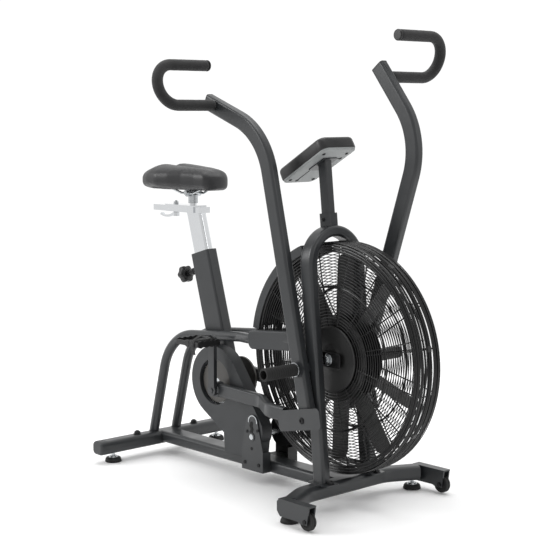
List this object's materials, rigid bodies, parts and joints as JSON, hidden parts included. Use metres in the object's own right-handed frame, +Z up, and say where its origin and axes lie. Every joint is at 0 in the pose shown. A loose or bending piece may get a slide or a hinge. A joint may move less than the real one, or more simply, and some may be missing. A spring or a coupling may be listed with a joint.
{
  "type": "air bike",
  "caption": "Fan-braked exercise bike with swinging handle arms linked to the pedals, a wire fan cage, a sliding saddle and transport wheels.",
  "frame": {"origin": "middle of the footprint, on the floor", "axes": "+X is the way the rider faces, towards the fan; +Y is the rider's left; +Z is up"},
  "size_m": [1.145, 0.685, 1.3079],
  "materials": {
    "grey_steel": "satin dark slate grey powder coat",
    "grey_plastic": "matt dark grey moulding",
    "black_plastic": "fine textured black",
    "display": "smooth dark console face",
    "zinc": "bright zinc plate",
    "black_rubber": "matt black rubber",
    "foam": "matt closed cell foam",
    "black_wire": "satin black coat",
    "black_metal": "satin black coat",
    "bronze_disc": "smooth grey brown",
    "chrome": "polished",
    "saddle_cover": "grained black synthetic leather"
  },
  "bodies": {
    "frame": {"rear_stabilizer": "grey_steel", "frame_trim": "grey_plastic", "front_stabilizer": "grey_steel", "main_beam": "grey_steel", "wheel_brackets": "grey_steel", "foot_pads": "black_rubber", "foot_studs": "zinc", "frame_bolts": "zinc", "fork_leg_right": "grey_steel", "fork_leg_left": "grey_steel", "fork_arch": "grey_steel", "fork_fittings": "grey_steel", "stay_right": "grey_steel", "stay_left": "grey_steel", "seat_tube": "grey_steel", "seat_sleeve": "black_plastic", "chain_case": "grey_plastic", "jack_tower": "grey_steel", "jack_stand": "black_metal", "axles": "zinc", "cage_right": "black_wire", "cage_left": "black_wire", "cage_caps": "black_wire", "fender": "grey_plastic", "fan_belt": "black_rubber", "console_mast": "grey_steel", "console_back": "black_plastic", "console_case": "black_plastic", "console_face": "display", "foot_pegs": "black_rubber"},
    "wheel_right": {"transport_wheel_right": "black_rubber"},
    "wheel_left": {"transport_wheel_left": "black_rubber"},
    "seat_post": {"seat_post": "chrome"},
    "seat_slider": {"seat_carriage": "chrome", "seat_clamp": "zinc", "saddle_rails": "chrome", "saddle_base": "black_plastic", "saddle": "saddle_cover"},
    "clamp_lever": {"clamp_lever": "chrome"},
    "pop_pin": {"pop_pin": "zinc", "knob": "black_plastic"},
    "crank": {"crank_axle": "zinc", "crank_discs": "bronze_disc", "crank_arms": "black_metal"},
    "pedal_right": {"pedal_right": "black_plastic"},
    "pedal_left": {"pedal_left": "black_plastic"},
    "link_right": {"link_right": "grey_steel", "link_hardware_right": "zinc"},
    "link_left": {"link_left": "grey_steel", "link_hardware_left": "zinc"},
    "arm_right": {"arm_right": "grey_steel", "grip_foam_right": "foam", "arm_caps_right": "black_plastic"},
    "arm_left": {"arm_left": "grey_steel", "grip_foam_left": "foam", "arm_caps_left": "black_plastic"},
    "fan": {"fan_hub": "black_metal", "fan_blades": "black_metal"},
    "jackshaft": {"jackshaft": "zinc", "jack_pulley": "black_plastic"}
  },
  "joints": [
    {"name": "crank_spin", "type": "hinge", "parent": "frame", "child": "crank", "pos_m": [-0.2285, 0, 0.279], "axis": [0, 1, 0], "continuous": true},
    {"name": "jackshaft_spin", "type": "hinge", "parent": "frame", "child": "jackshaft", "pos_m": [-0.0575, 0, 0.14], "axis": [0, 1, 0], "continuous": true},
    {"name": "fan_spin", "type": "hinge", "parent": "frame", "child": "fan", "pos_m": [0.2505, 0, 0.41], "axis": [0, 1, 0], "continuous": true},
    {"name": "pedal_right_spin", "type": "hinge", "parent": "crank", "child": "pedal_right", "pos_m": [-0.19141, -0.155, 0.41602], "axis": [0, 1, 0], "continuous": true},
    {"name": "pedal_left_spin", "type": "hinge", "parent": "crank", "child": "pedal_left", "pos_m": [-0.26559, 0.155, 0.14198], "axis": [0, 1, 0], "continuous": true},
    {"name": "link_right_pivot", "type": "hinge", "parent": "crank", "child": "link_right", "pos_m": [-0.19141, -0.08, 0.26402], "axis": [0, 1, 0], "continuous": true},
    {"name": "link_left_pivot", "type": "hinge", "parent": "crank", "child": "link_left", "pos_m": [-0.26559, 0.08, 0.29398], "axis": [0, 1, 0], "continuous": true},
    {"name": "arm_right_swing", "type": "hinge", "parent": "frame", "child": "arm_right", "pos_m": [0.2155, -0.125, 0.389], "axis": [0, 1, 0], "range_deg": [0, 31.3]},
    {"name": "arm_left_swing", "type": "hinge", "parent": "frame", "child": "arm_left", "pos_m": [0.2155, 0.125, 0.389], "axis": [0, 1, 0], "range_deg": [-31.3, 0]},
    {"name": "seat_height", "type": "slide", "parent": "frame", "child": "seat_post", "axis": [-0.2807, 0, 0.9598], "range_m": [-0.096, 0.12]},
    {"name": "seat_fore_aft", "type": "slide", "parent": "seat_post", "child": "seat_slider", "axis": [1, 0, 0], "range_m": [-0.03, 0.022]},
    {"name": "clamp_lever_turn", "type": "hinge", "parent": "seat_slider", "child": "clamp_lever", "pos_m": [-0.484, 0, 0.767], "axis": [0, 0, 1], "range_deg": [0, 90]},
    {"name": "pop_pin_pull", "type": "slide", "parent": "frame", "child": "pop_pin", "axis": [-0.9598, 0, -0.2807], "range_m": [0, 0.01], "stiffness_N_per_m": 800, "springref_m": -0.004},
    {"name": "wheel_right_spin", "type": "hinge", "parent": "frame", "child": "wheel_right", "pos_m": [0.3885, -0.2665, 0.028], "axis": [0, 1, 0], "continuous": true},
    {"name": "wheel_left_spin", "type": "hinge", "parent": "frame", "child": "wheel_left", "pos_m": [0.3885, 0.2665, 0.028], "axis": [0, 1, 0], "continuous": true}
  ],
  "couplings": [
    {"joint": "jackshaft_spin", "follows": "crank_spin", "ratio": 2.8571},
    {"joint": "fan_spin", "follows": "crank_spin", "ratio": 6.5714},
    {"joint": "link_right_pivot", "follows": "crank_spin", "ratio": -1},
    {"joint": "link_left_pivot", "follows": "crank_spin", "ratio": -1},
    {"joint": "arm_left_swing", "follows": "arm_right_swing", "ratio": -1}
  ]
}
